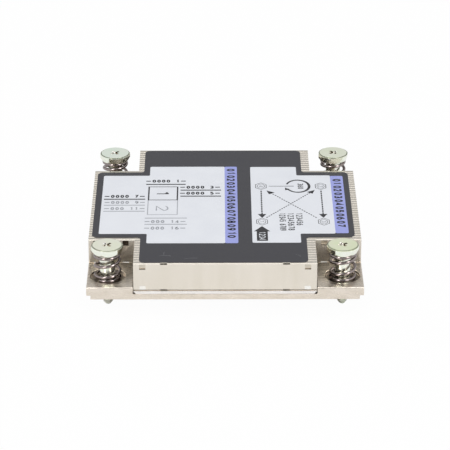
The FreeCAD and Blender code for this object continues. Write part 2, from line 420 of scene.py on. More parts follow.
@dataclass(frozen=True)
class PrintedFilm:
    """Polyester film or the ink on it: an even colour under a thin semi-gloss skin."""

    name: str
    colour: str
    shade: str
    roughness: float
    patch_mm: float = 9.0
    skin_mm: float = 0.6
    skin_depth_mm: float = 0.02
    skin_strength: float = 0.15
    gloss_spread: float = 0.15
    ior: float = 1.5

    def make(self) -> bpy.types.Material:
        """Build the material: slight unevenness of ink, and the soft waviness of a stuck film.

        Returns:
            The material.
        """
        material, tree = new_material(self.name)
        patches = surface_noise(tree, (self.patch_mm, self.patch_mm, self.patch_mm), 3.0)
        colour = colour_ramp(tree, patches, [(NOISE_LOW, self.shade), (NOISE_HIGH, self.colour)])
        skin = surface_noise(tree, (self.skin_mm, self.skin_mm, self.skin_mm), 1.0)
        gloss = value_range(tree, patches, self.roughness, self.roughness * self.gloss_spread)
        normal = relief(tree, skin, self.skin_depth_mm, self.skin_strength)
        close_material(tree, {"Base Color": colour, "Roughness": gloss, "IOR": self.ior, "Normal": normal})
        return material


@dataclass(frozen=True)
class Finishes:
    """Every finish of the heat sink, made once."""

    machined: bpy.types.Material
    # The seats of the springs: duller, and darker with painted shade
    seat: bpy.types.Material
    spreader: bpy.types.Material
    sheet: bpy.types.Material
    # Painted light on the pressed tongues: highlight, shade and shadow
    bright_tongue: bpy.types.Material
    dull_tongue: bpy.types.Material
    deep_tongue: bpy.types.Material
    zinc: dict[Place, bpy.types.Material]
    bright_zinc: bpy.types.Material
    # Painted shadow on the step round a cap
    zinc_edge: bpy.types.Material
    # Painted shade and painted highlight on the walls of a screw's recess
    worn: bpy.types.Material
    polished: bpy.types.Material
    wire: bpy.types.Material
    ring: bpy.types.Material
    film: bpy.types.Material
    pale_ink: bpy.types.Material
    blue_ink: bpy.types.Material
    dark_ink: bpy.types.Material
    grey_ink: bpy.types.Material
    scuff: bpy.types.Material

    @classmethod
    def make(cls) -> "Finishes":
        """Build all the materials.

        Returns:
            The finishes.
        """
        # Milled aluminium under electroless nickel: warm grey, with long tool marks along X.
        # The marks are drawn 0.3 mm apart, coarser than the cutter's, so that they show.
        machined = NickelPlate(
            "nickel_plated_aluminium_milled", "#F1E7DB", "#E4DACC", roughness=0.29, roughness_spread=0.05,
            grain_mm=(4.0, 0.3, 0.3), grain_depth_mm=0.006, patch_mm=(6.0, 5.0, 2.2),
        )
        # Rolled aluminium sheet under the same plating: smoother, with faint roll grain and slow waves.
        sheet = NickelPlate(
            "nickel_plated_aluminium_rolled", "#F1EADF", "#EAE3D6", roughness=0.24, roughness_spread=0.02,
            grain_mm=(0.6, 6.0, 5.0), grain_depth_mm=0.003, patch_mm=(5.0, 9.0, 30.0),
        )
        # The milled seat of a spring: duller, as the cutter leaves it, and much darker with painted shade for
        # the recess under the spring and the head.
        seat = NickelPlate(
            "nickel_plated_aluminium_seat", "#A89E93", "#8F857B", roughness=0.34, roughness_spread=0.05,
            grain_mm=(0.5, 0.5, 0.5), grain_depth_mm=0.004, patch_mm=(5.0, 5.0, 5.0),
        )
        # The heat spreader, ground before plating: whiter and finer than the milled plate round it.
        spreader = NickelPlate(
            "nickel_plated_copper_ground", "#FFFCFA", "#F5F0EC", roughness=0.2, roughness_spread=0.03,
            grain_mm=(5.0, 0.25, 0.25), grain_depth_mm=0.003, patch_mm=(9.0, 6.0, 3.0),
        )
        # The pressed tongues of the sheet, in three copies of its plating: a painted highlight on those that
        # face up, painted shade on those that face down, and a near-black painted shadow on the upper tongues
        # of the left arm, which stand deep in their window.
        tongues = [
            NickelPlate(
                f"nickel_plated_tongue_{name}", pale, dark, roughness=0.24, roughness_spread=0.02,
                grain_mm=(0.6, 6.0, 5.0), grain_depth_mm=0.002, patch_mm=(4.0, 4.0, 4.0),
            )
            for name, pale, dark in (
                ("bright", "#FFFEFA", "#FBF8F0"),
                ("dull", "#DDD5C7", "#D2C9BA"),
                ("deep", "#4A423B", "#3A332E"),
            )
        ]
        # Steel with passivated zinc, a little milky on the caps: every screw has come out in its own shade.
        zinc = {
            place: PlatedSteel(f"passivated_zinc_{shade}", colours, 0.2, 5.0, metal=0.45).make()
            for place, shade, colours in (
                (Place.FRONT_LEFT, "straw", ("#FBFEE8", "#FCFEEC", "#FEFDEF")),
                (Place.FRONT_RIGHT, "yellow_green", ("#F0F9D4", "#F4FADA", "#F7FADF")),
                (Place.REAR_LEFT, "sea_green", ("#F0FFEF", "#F5FFF3", "#F8FFF4")),
                (Place.REAR_RIGHT, "pale_green", ("#F2F9E2", "#F5FAE6", "#F7F8E9")),
            )
        }
        # The same plating where it is smooth, on the hexagons and shanks: nearly a mirror.
        bright_zinc = PlatedSteel("passivated_zinc_bright", ("#F6FCEC", "#FAFEF2", "#FCFDF3"), 0.2, 4.0)
        # The narrow step round a cap, in a dull and dark copy of the plating: a painted shadow line under the
        # cap's rim.
        zinc_edge = PlatedSteel("passivated_zinc_thin", ("#8E9480", "#969B87", "#9C9F8C"), 0.35, 2.0)
        # The recess of a screw, in two copies of the steel: a painted highlight on the walls on one side and
        # on those that face the front, and painted shade on the rest.
        polished = PlatedSteel("steel_polished_by_driver", ("#EEEBE6", "#F2F0EB", "#F5F3F0"), 0.22, 1.0)
        worn = PlatedSteel("steel_rubbed_by_driver", ("#989080", "#A2998A", "#ABA294"), 0.25, 1.0)
        # Drawn spring steel, tumbled bright: a dark mirror.
        wire = PlatedSteel("drawn_spring_steel", ("#8E8482", "#948A88", "#9B918F"), 0.07, 3.0)
        # Stamped spring steel with black oxide: dull and dark.
        ring = PlatedSteel("blackened_spring_steel", ("#3A3A3B", "#454546", "#4F4E4D"), 0.4, 1.5)
        # Polyester film, a very dark grey, with screen-printed inks that are a little duller.
        # Where it is rubbed it is pale and matt.
        return cls(
            machined=machined.make(),
            seat=seat.make(),
            spreader=spreader.make(),
            sheet=sheet.make(),
            bright_tongue=tongues[0].make(),
            dull_tongue=tongues[1].make(),
            deep_tongue=tongues[2].make(),
            zinc=zinc,
            bright_zinc=bright_zinc.make(),
            zinc_edge=zinc_edge.make(),
            worn=worn.make(),
            polished=polished.make(),
            wire=wire.make(),
            ring=ring.make(),
            film=PrintedFilm("black_polyester_film", "#35353C", "#313138", 0.38).make(),
            pale_ink=PrintedFilm("pale_screen_print", "#EBEEF4", "#E8EBF2", 0.4).make(),
            blue_ink=PrintedFilm("lilac_blue_screen_print", "#A2AAEA", "#9DA5E6", 0.4).make(),
            dark_ink=PrintedFilm("dark_screen_print", "#232328", "#1E1E23", 0.45).make(),
            grey_ink=PrintedFilm("grey_screen_print", "#AAADB4", "#A4A7AE", 0.45).make(),
            scuff=PrintedFilm("rubbed_film", "#A9A9AE", "#8E8E93", 0.6).make(),
        )


# Screws and springs


class ScrewFace(Enum):
    """The faces of a screw that get a finish of their own: painted shadow on the step, and a painted
    highlight or painted shade on the walls of the recess.
    """

    CAP = "cap"
    STEP = "step"
    DARK_WALL = "dark_wall"
    BRIGHT_WALL = "bright_wall"


@dataclass
class CaptiveFastener:
    """A screw, its spring and its retaining ring at one corner, sizes in millimetres."""

    place: Place
    head_turn: float
    spring_start: float
    # 1 where the walls of the recess with the painted highlight are on its left, -1 where they are on its
    # right
    worn_side: int = 1
    seat_z: float = 9.45
    travel: float = 3.5
    ring_edge: float = 0.08
    # Head
    head_z: float = 19.35
    head_thickness: float = 2.6
    head_edge: float = 0.1
    across_flats: float = 9.5
    corner_cut: float = 0.7
    corner_rise: float = 0.9
    # Cap and the step round it
    cap_radius: float = 5.3
    cap_flat_radius: float = 4.92
    cap_thickness: float = 0.5
    cap_edge: float = 0.04
    cap_steps: int = 72
    bead_width: float = 0.32
    bead_depth: float = 0.2
    step_depth: float = 0.05
    # Cross recess: its turn from the hexagon, and a wing's width at the floor and high over the head
    recess_width: float = 3.5
    recess_wing: float = 0.95
    recess_depth: float = 1.4
    recess_turn: float = 30.0
    recess_taper: Point = (0.5, 1.5)
    # Where its walls are looked for: within this radius, and between these depths under the top
    recess_reach: float = 2.1
    recess_zone: Point = (0.02, 1.5)
    # Body
    body_steps: int = 56
    shoulder_radius: float = 2.65
    shoulder_z: float = 4.2
    shoulder_edge: float = 0.15
    groove_radius: float = 2.0
    groove: Point = (5.5, 6.3)
    # Edges farther out than this belong to the head
    shank_reach: float = 3.5
    # Thread: its ridge starts a little above the point, bites into the core and nearly fills the pitch
    point_radius: float = 1.0
    point_edge: float = 0.2
    thread_core_radius: float = 1.6
    thread_radius: float = 2.0
    thread_pitch: float = 0.7
    thread_start: float = 1.0
    thread_gap: float = 0.1
    thread_bite: float = 0.05
    thread_share: float = 0.46
    thread_steps: int = 28
    # Spring
    wire_diameter: float = 1.1
    wire_sides: int = 14
    wire_smooth_degrees: float = 50.0
    coil_radius: float = 4.15
    coil_steps: int = 44
    spring_length: float = 9.9
    spring_turns: float = 3.7
    end_closeness: float = 0.85

    def place_piece(self, piece: bpy.types.Object) -> None:
        """Move a piece's mesh from the Z axis to the screw's own axis."""
        x, y = self.place.axis
        piece.data.transform(Matrix.Translation((x * MM, y * MM, 0)))

    @property
    def top(self) -> float:
        """Height of the top of the head."""
        return self.head_z + self.head_thickness

    def body_profile(self) -> list[Point]:
        """The turned outline from the middle of the tip to the round blank of the hexagon.

        Returns:
            Points of radius and height.
        """
        blank_top = self.top - self.cap_thickness / 2
        corner = self.across_flats / 2 / math.cos(math.radians(30))
        low, high = self.groove
        return [
            (0, 0),
            (self.point_radius - self.point_edge, 0),
            (self.point_radius, self.point_edge),
            (self.thread_core_radius, self.thread_start),
            (self.thread_core_radius, self.shoulder_z - self.thread_gap),
            (self.thread_radius, self.shoulder_z),
            (self.shoulder_radius - self.shoulder_edge, self.shoulder_z),
            (self.shoulder_radius, self.shoulder_z + self.shoulder_edge),
            (self.shoulder_radius, low),
            (self.groove_radius, low),
            (self.groove_radius, high),
            (self.shoulder_radius, high),
            (self.shoulder_radius, self.head_z),
            (corner - self.corner_cut, self.head_z),
            (corner, self.head_z + self.corner_rise),
            (corner, blank_top),
            (0, blank_top),
        ]

    def cap_profile(self) -> list[Point]:
        """The turned outline of the round cap: a disc that stands over a narrow bead.

        Returns:
            Points of radius and height.
        """
        bottom = self.top - self.cap_thickness
        bead = self.top - self.bead_depth
        rim = self.cap_radius
        edge = self.cap_edge
        return [
            (0, bottom),
            (rim - edge, bottom),
            (rim, bottom + edge),
            (rim, bead),
            (rim - edge, bead + edge),
            (rim - self.bead_width, bead + edge),
            (rim - self.bead_width, self.top - edge),
            (self.cap_flat_radius, self.top),
            (0, self.top),
        ]

    def cut_hexagon(self, mesh: bmesh.types.BMesh) -> None:
        """Cut six flats on the round head and close each cut.

        Args:
            mesh: The turned body.
        """
        for side in range(6):
            angle = math.radians(self.head_turn + 30 + 60 * side)
            outward = Vector((math.cos(angle), math.sin(angle), 0))
            cut = bmesh.ops.bisect_plane(
                mesh,
                geom=mesh.verts[:] + mesh.edges[:] + mesh.faces[:],
                dist=FINE_MERGE_DISTANCE,
                plane_co=outward * (self.across_flats / 2 * MM),
                plane_no=outward,
                clear_outer=True,
            )
            rim = [item for item in cut["geom_cut"] if isinstance(item, bmesh.types.BMEdge)]
            bmesh.ops.contextual_create(mesh, geom=rim)

    def soften_head(self, mesh: bmesh.types.BMesh) -> None:
        """Round the head's edges, and leave the turned body's as they are.

        Args:
            mesh: The body with its hexagon.
        """
        sharp = []
        for edge in mesh.edges:
            on_head = all(corner.co.z > (self.head_z - SLACK) * MM for corner in edge.verts)
            beyond = all(corner.co.xy.length > self.shank_reach * MM for corner in edge.verts)
            if on_head and beyond and is_sharp(edge, SMOOTH_DEGREES):
                sharp.append(edge)
        round_edges(mesh, sharp, self.head_edge)

    def add_thread(self, mesh: bmesh.types.BMesh) -> None:
        """Wind a ridge of triangular section round the threaded end.

        Args:
            mesh: The screw's bmesh.
        """
        half_base = self.thread_pitch * self.thread_share
        start = self.thread_start + self.thread_gap
        inner = self.thread_core_radius - self.thread_bite
        turns = (self.shoulder_z - start - 2 * half_base) / self.thread_pitch
        steps = round(turns * self.thread_steps)
        section = [(inner, start), (self.thread_radius, start + half_base), (inner, start + 2 * half_base)]
        corners = [mesh.verts.new((radius * MM, 0, height * MM)) for radius, height in section]
        face = mesh.faces.new(corners)
        bmesh.ops.spin(
            mesh,
            geom=[face] + list(face.edges) + list(face.verts),
            cent=(0, 0, 0),
            axis=(0, 0, 1),
            dvec=(0, 0, turns * self.thread_pitch * MM / steps),
            angle=2 * math.pi * turns,
            steps=steps,
        )

    def combine(self, piece: bpy.types.Object, other: bpy.types.Object, operation: str) -> None:
        """Join another closed shape to a piece or cut it out, and throw the other one away.

        Args:
            piece: The piece.
            other: The other shape.
            operation: UNION or DIFFERENCE.
        """
        boolean = piece.modifiers.new("combine", "BOOLEAN")
        boolean.operation = operation
        boolean.object = other
        boolean.solver = "EXACT"
        bpy.context.view_layer.update()
        seen = piece.evaluated_get(bpy.context.evaluated_depsgraph_get())
        data = bpy.data.meshes.new_from_object(seen)
        piece.modifiers.clear()
        piece.data = data
        bpy.data.objects.remove(other)

    def recess_cutter(self, turn: float) -> bpy.types.Object:
        """Make one wing of the cross recess, narrower towards its floor.

        Args:
            turn: The wing's turn round the axis, in degrees.

        Returns:
            The shape that cuts the wing, half of it over the head.
        """
        mesh = bmesh.new()
        bmesh.ops.create_cube(mesh, size=1.0)
        size = Vector((self.recess_width, self.recess_wing, 2 * self.recess_depth)) * MM
        bmesh.ops.scale(mesh, vec=size, verts=mesh.verts)
        for share, is_floor in zip(self.recess_taper, (True, False)):
            level = [corner for corner in mesh.verts if (corner.co.z < 0) == is_floor]
            bmesh.ops.scale(mesh, vec=(share, share, 1.0), verts=level)
        matrix = Matrix.Rotation(math.radians(turn), 3, "Z")
        bmesh.ops.rotate(mesh, cent=(0, 0, 0), matrix=matrix, verts=mesh.verts)
        bmesh.ops.translate(mesh, vec=(0, 0, self.top * MM), verts=mesh.verts)
        return make_object("recess_cutter", mesh)

    def make_screw(self) -> bpy.types.Object:
        """Build the screw: turned body, hexagon under a round cap, cross recess, threaded end.

        Returns:
            The screw on its own axis.
        """
        mesh = bmesh.new()
        lathe(mesh, self.body_profile(), self.body_steps)
        self.cut_hexagon(mesh)
        self.soften_head(mesh)
        screw = make_object(f"screw_{self.place.label}", mesh)
        cap = bmesh.new()
        lathe(cap, self.cap_profile(), self.cap_steps)
        self.combine(screw, make_object("cap", cap), "UNION")
        for quarter in (0, 90):
            cutter = self.recess_cutter(self.head_turn + self.recess_turn + quarter)
            self.combine(screw, cutter, "DIFFERENCE")
        thread = bmesh.new()
        thread.from_mesh(screw.data)
        self.add_thread(thread)
        thread.to_mesh(screw.data)
        thread.free()
        screw.data.shade_smooth()
        screw.data.set_sharp_from_angle(angle=math.radians(SMOOTH_DEGREES))
        self.place_piece(screw)
        return screw

    def face_kind(self, face: bpy.types.MeshPolygon) -> ScrewFace | None:
        """Say which finish a face of the screw gets.

        Args:
            face: The face, with the screw in its place.

        Returns:
            The kind of face, or None on the hexagon, the shank and the thread.
        """
        # Walls left of the first of these get the painted highlight, and left of the second those that face
        # the front; the rest get painted shade
        bright_side, front_side, front_lean = -0.1, 0.2, -0.3
        away = face.center.xy - Vector(self.place.axis) * MM
        reach = away.length / MM
        depth = self.top - face.center.z / MM
        low, high = self.recess_zone
        if reach < self.recess_reach and low < depth < high:
            side = away.x / MM * self.worn_side
            is_bright = side < bright_side or (side < front_side and face.normal.y < front_lean)
            return ScrewFace.BRIGHT_WALL if is_bright else ScrewFace.DARK_WALL
        if depth > self.cap_thickness + SLACK:
            return None
        if self.step_depth < depth < self.bead_depth - SLACK and reach > self.cap_flat_radius:
            return ScrewFace.STEP
        return ScrewFace.CAP

    def dress_screw(self, screw: bpy.types.Object, finishes: Finishes) -> None:
        """Give the cap, the step round it with its painted shadow, the recess with its painted highlight and
        shade, and the rest of the screw their finishes.

        Args:
            screw: The screw in its place.
            finishes: The materials.
        """
        dress(screw, finishes.bright_zinc)
        found = {kind: [] for kind in ScrewFace}
        for face in screw.data.polygons:
            kind = self.face_kind(face)
            if kind is not None:
                found[kind].append(face.index)
        for kind, material in (
            (ScrewFace.CAP, finishes.zinc[self.place]),
            (ScrewFace.STEP, finishes.zinc_edge),
            (ScrewFace.DARK_WALL, finishes.worn),
            (ScrewFace.BRIGHT_WALL, finishes.polished),
        ):
            dress_faces(screw, material, found[kind])

    def wire_height(self, share: float) -> float:
        """Height of the wire's centre over the seat, slow at both ends and fast between."""
        ease = self.end_closeness * math.sin(2 * math.pi * share) / (2 * math.pi)
        return self.wire_diameter / 2 + (self.spring_length - self.wire_diameter) * (share - ease)

    def make_spring(self) -> bpy.types.Object:
        """Build the spring: a round section carried step by step round the axis, with its own rise each time.

        Returns:
            The spring round the screw's axis.
        """
        mesh = bmesh.new()
        upright = Matrix.Rotation(math.radians(90), 4, "X")
        out = Matrix.Translation((self.coil_radius * MM, 0, (self.seat_z + self.wire_height(0)) * MM))
        turn = Matrix.Rotation(math.radians(self.spring_start), 4, "Z")
        section = bmesh.ops.create_circle(
            mesh,
            cap_ends=True,
            segments=self.wire_sides,
            radius=self.wire_diameter / 2 * MM,
            matrix=turn @ out @ upright,
        )
        rim = list({edge for corner in section["verts"] for edge in corner.link_edges})
        steps = round(self.spring_turns * self.coil_steps)
        for step in range(steps):
            rise = self.wire_height((step + 1) / steps) - self.wire_height(step / steps)
            carried = bmesh.ops.spin(
                mesh,
                geom=rim,
                cent=(0, 0, 0),
                axis=(0, 0, 1),
                dvec=(0, 0, rise * MM),
                angle=2 * math.pi * self.spring_turns / steps,
                steps=1,
            )
            rim = [item for item in carried["geom_last"] if isinstance(item, bmesh.types.BMEdge)]
        bmesh.ops.contextual_create(mesh, geom=rim)
        spring = make_object(f"spring_wire_{self.place.label}", mesh, self.wire_smooth_degrees)
        self.place_piece(spring)
        return spring

    def build(self, nodes: dict, finishes: Finishes) -> None:
        """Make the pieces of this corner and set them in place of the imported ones.

        Args:
            nodes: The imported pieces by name.
            finishes: The materials.
        """
        corner = self.place.label
        screw = self.make_screw()
        self.dress_screw(screw, finishes)
        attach(screw, f"screw_{corner}")
        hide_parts(f"captive_screw_{corner}")
        spring = self.make_spring()
        dress(spring, finishes.wire)
        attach(spring, "heatsink")
        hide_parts(f"spring_{corner}")
        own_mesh(spring)
        ring = softened_copy(nodes[f"retaining_ring_{corner}"], f"ring_clip_{corner}", self.ring_edge)
        dress(ring, finishes.ring)
        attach(ring, f"ring_{corner}")
        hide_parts(f"retaining_ring_{corner}")


# Print on the label

# Numbers that read down the label are turned this far, in degrees.
DOWNWARDS = -90.0
# Width of a digit as a share of the room from one digit to the next.
DIGIT_SHARE = 0.8
# At a bend a stroke widens no more than as one over this.
BEND_LIMIT = 0.5
# Straight steps in a curve of a digit, in an arc and in a rounded corner.
BOW_STEPS = 14
ARC_STEPS = 32
CORNER_STEPS = 4


def bow(centre: Point, radius: Point, angles: Point) -> list[Point]:
    """Points along a part of an oval.

    Args:
        centre: Its centre.
        radius: Its radius along X and along Y.
        angles: Where it starts and ends, in degrees; a whole turn leaves out the last point.

    Returns:
        The points in order.
    """
    sweep = angles[1] - angles[0]
    count = BOW_STEPS if abs(sweep) == 360 else BOW_STEPS + 1
    points = []
    for step in range(count):
        turn = math.radians(angles[0] + sweep * step / BOW_STEPS)
        points.append((centre[0] + radius[0] * math.cos(turn), centre[1] + radius[1] * math.sin(turn)))
    return points


# The middle lines of the digits in a box of one by one, and whether each line is closed.
DIGITS = {
    "0": ((bow((0.5, 0.5), (0.5, 0.5), (0, 360)), True),),
    "1": (([(0.25, 0.8), (0.6, 1.0), (0.6, 0.0)], False),),
    "2": ((bow((0.5, 0.72), (0.46, 0.28), (165, -40)) + [(0.04, 0.0), (1.0, 0.0)], False),),
    "3": (
        (
            bow((0.45, 0.75), (0.45, 0.25), (150, -80)) + bow((0.45, 0.26), (0.53, 0.26), (80, -150)),
            False,
        ),
    ),
    "4": (([(0.76, 0.0), (0.76, 1.0), (0.0, 0.28), (1.0, 0.28)], False),),
    "5": (
        (
            [(0.92, 1.0), (0.16, 1.0), (0.1, 0.52)] + bow((0.46, 0.32), (0.52, 0.32), (125, -150)),
            False,
        ),
    ),
    "6": (
        (bow((0.5, 0.31), (0.5, 0.31), (0, 360)), True),
        (bow((0.9, 0.36), (0.89, 0.64), (95, 165)), False),
    ),
    "7": (([(0.0, 1.0), (1.0, 1.0), (0.35, 0.0)], False),),
    "8": (
        (bow((0.5, 0.76), (0.42, 0.24), (0, 360)), True),
        (bow((0.5, 0.26), (0.5, 0.26), (0, 360)), True),
    ),
    "9": (
        (bow((0.5, 0.69), (0.5, 0.31), (0, 360)), True),
        (bow((0.1, 0.64), (0.89, 0.64), (-85, -15)), False),
    ),
}


class InkLayer:
    """Flat shapes of one ink, gathered in one mesh and then given the ink's thickness."""

    def __init__(self, name: str, base_mm: float, thickness_mm: float) -> None:
        """Start an empty layer.

        Args:
            name: The name of the finished piece.
            base_mm: Height of the surface that the ink lies on.
            thickness_mm: Height that the ink stands over it.
        """
        self.name = name
        self.base = base_mm
        self.thickness = thickness_mm
        self.mesh = bmesh.new()

    def corner(self, x: float, y: float) -> bmesh.types.BMVert:
        """Add a corner at a place in millimetres."""
        return self.mesh.verts.new((x * MM, y * MM, self.base * MM))

    def polygon(self, corners: list[Point], radius: float = 0.0) -> None:
        """Add a filled outline.

        Args:
            corners: Its corners in order, in millimetres.
            radius: Radius of the rounded corners.
        """
        points = [self.corner(x, y) for x, y in corners]
        self.mesh.faces.new(points)
        if radius:
            bmesh.ops.bevel(
                self.mesh,
                geom=points,
                offset=radius * MM,
                offset_type="OFFSET",
                segments=CORNER_STEPS,
                profile=0.5,
                affect="VERTICES",
                material=-1,
            )

    def rectangle(self, low: Point, high: Point, radius: float = 0.0) -> None:
        """Add a filled rectangle between two corners."""
        self.polygon([low, (high[0], low[1]), high, (low[0], high[1])], radius)

    def stroke(self, start: Point, end: Point, width: float) -> None:
        """Add a straight stroke with square ends.

        Args:
            start: Where it begins.
            end: Where it ends.
            width: Its width.
        """
        first, last = Vector(start), Vector(end)
        run = last - first
        side = Vector((-run.y, run.x)).normalized() * (width / 2)
        self.polygon([tuple(first - side), tuple(last - side), tuple(last + side), tuple(first + side)])

    def dashes(self, start: Point, end: Point, width: float, dash: float, gap: float) -> None:
        """Add a dashed stroke.

        Args:
            start: Where it begins.
            end: Where it ends.
            width: Width of the stroke.
            dash: Length of a dash.
            gap: Length of a gap.
        """
        first = Vector(start)
        run = Vector(end) - first
        count = max(1, round((run.length + gap) / (dash + gap)))
        for number in range(count):
            low = number * (dash + gap) / run.length
            high = min(1.0, low + dash / run.length)
            self.stroke(tuple(first + run * low), tuple(first + run * high), width)

    def arrow_head(self, tip: Point, direction: Point, length: float, width: float) -> None:
        """Add a filled triangle that points along a direction.

        Args:
            tip: Its tip.
            direction: Where it points.
            length: Its length.
            width: Its width at the back.
        """
        along = Vector(direction).normalized()
        side = Vector((-along.y, along.x)) * (width / 2)
        back = Vector(tip) - along * length
        self.polygon([tip, tuple(back + side), tuple(back - side)])

    def loop(self, centre: Point, size: Point, sides: int, width: float) -> None:
        """Add an open regular outline.

        Args:
            centre: Its middle.
            size: Its half width and half depth.
            sides: How many sides it has.
            width: Width of the line.
        """
        place = Matrix.Translation((centre[0] * MM, centre[1] * MM, self.base * MM))
        matrix = place @ Matrix.Diagonal((size[0] * MM, size[1] * MM, 1, 1))
        made = bmesh.ops.create_circle(self.mesh, cap_ends=True, segments=sides, radius=1.0, matrix=matrix)
        face = made["verts"][0].link_faces[0]
        bmesh.ops.inset_region(
            self.mesh, faces=[face], thickness=width * MM, use_even_offset=True, use_boundary=True
        )
        bmesh.ops.delete(self.mesh, geom=[face], context="FACES")

    def arc(self, centre: Point, radius: Point, widths: Point, angles: Point) -> None:
        """Add a curved stroke that may grow wider along its way.

        Args:
            centre: Centre of the arc.
            radius: Its radius along X and along Y.
            widths: Width at its start and at its end.
            angles: Where it starts and ends, in degrees.
        """
        edge = []
        for step in range(ARC_STEPS + 1):
            share = step / ARC_STEPS
            angle = math.radians(angles[0] + (angles[1] - angles[0]) * share)
            half = (widths[0] + (widths[1] - widths[0]) * share) / 2
            pair = []
            for side in (-half, half):
                x = centre[0] + (radius[0] + side) * math.cos(angle)
                y = centre[1] + (radius[1] + side) * math.sin(angle)
                pair.append(self.corner(x, y))
            edge.append(pair)
        for before, after in zip(edge, edge[1:]):
            self.mesh.faces.new((before[0], before[1], after[1], after[0]))

    def ribbon(self, line: list[Vector], width: float, is_closed: bool) -> None:
        """Add a stroke of even width along a bent line.

        Args:
            line: The points of its middle line, in millimetres.
            width: Width of the stroke.
            is_closed: Whether its last point joins its first.
        """
        pairs = []
        count = len(line)
        for place, point in enumerate(line):
            before = line[place - 1] if place or is_closed else point
            after = line[(place + 1) % count] if place + 1 < count or is_closed else point
            arriving = (point - before).normalized()
            leaving = (after - point).normalized()
            along = (arriving + leaving).normalized()
            side = Vector((-along.y, along.x))
            straight = leaving if leaving.length else arriving
            reach = width / 2 / max(BEND_LIMIT, abs(side.dot(Vector((-straight.y, straight.x)))))
            ends = [point - side * reach, point + side * reach]
            pairs.append([self.corner(end.x, end.y) for end in ends])
        following = pairs[1:] + pairs[:1] if is_closed else pairs[1:]
        for first, second in zip(pairs, following):
            self.mesh.faces.new((first[0], first[1], second[1], second[0]))

    def number(self, text: str, centre: Point, size: Point, turn: float, width: float) -> None:
        """Add a plain number.

        Args:
            text: Its digits, and spaces.
            centre: Its middle.
            size: Length of the whole number and height of a digit.
            turn: How far it is turned to the left, in degrees.
            width: Width of a stroke.
        """
        matrix = Matrix.Rotation(math.radians(turn), 2)
        step = size[0] / (len(text) - 1 + DIGIT_SHARE)
        reach = Vector((step * DIGIT_SHARE - width, size[1] - width))
        for place, digit in enumerate(text):
            low = Vector((step * place - size[0] / 2 + width / 2, (width - size[1]) / 2))
            for line, is_closed in DIGITS.get(digit, ()):
                points = [matrix @ Vector((low.x + x * reach.x, low.y + y * reach.y)) for x, y in line]
                self.ribbon([Vector(centre) + point for point in points], width, is_closed)

    def finish(self, material: bpy.types.Material) -> bpy.types.Object:
        """Give the shapes their thickness and make the piece.

        Args:
            material: The ink.

        Returns:
            The piece, riding on the heat sink's body.
        """
        bmesh.ops.remove_doubles(self.mesh, verts=self.mesh.verts, dist=FINE_MERGE_DISTANCE)
        for face in self.mesh.faces:
            face.normal_update()
        facing_down = [face for face in self.mesh.faces if face.normal.z < 0]
        bmesh.ops.reverse_faces(self.mesh, faces=facing_down)
        raised = bmesh.ops.extrude_face_region(self.mesh, geom=self.mesh.faces[:], use_keep_orig=True)
        corners = [item for item in raised["geom"] if isinstance(item, bmesh.types.BMVert)]
        bmesh.ops.translate(self.mesh, vec=(0, 0, self.thickness * MM), verts=corners)
        piece = make_object(self.name, self.mesh)
        dress(piece, material)
        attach(piece, "heatsink")
        return piece


@dataclass(frozen=True)
class DashedArrow:
    """A dashed arrow of the print, sizes in millimetres."""

    start: Point
    tip: Point
    line: float
    dash: float
    gap: float
    neck: float
    head_width: float
    head_length: float = 3.2

    def draw(self, layer: InkLayer) -> None:
        """Print the arrow.

        Args:
            layer: The ink.
        """
        run = Vector(self.tip) - Vector(self.start)
        neck = Vector(self.tip) - run.normalized() * self.neck
        layer.dashes(self.start, tuple(neck), self.line, self.dash, self.gap)
        layer.arrow_head(self.tip, tuple(run), self.head_length, self.head_width)


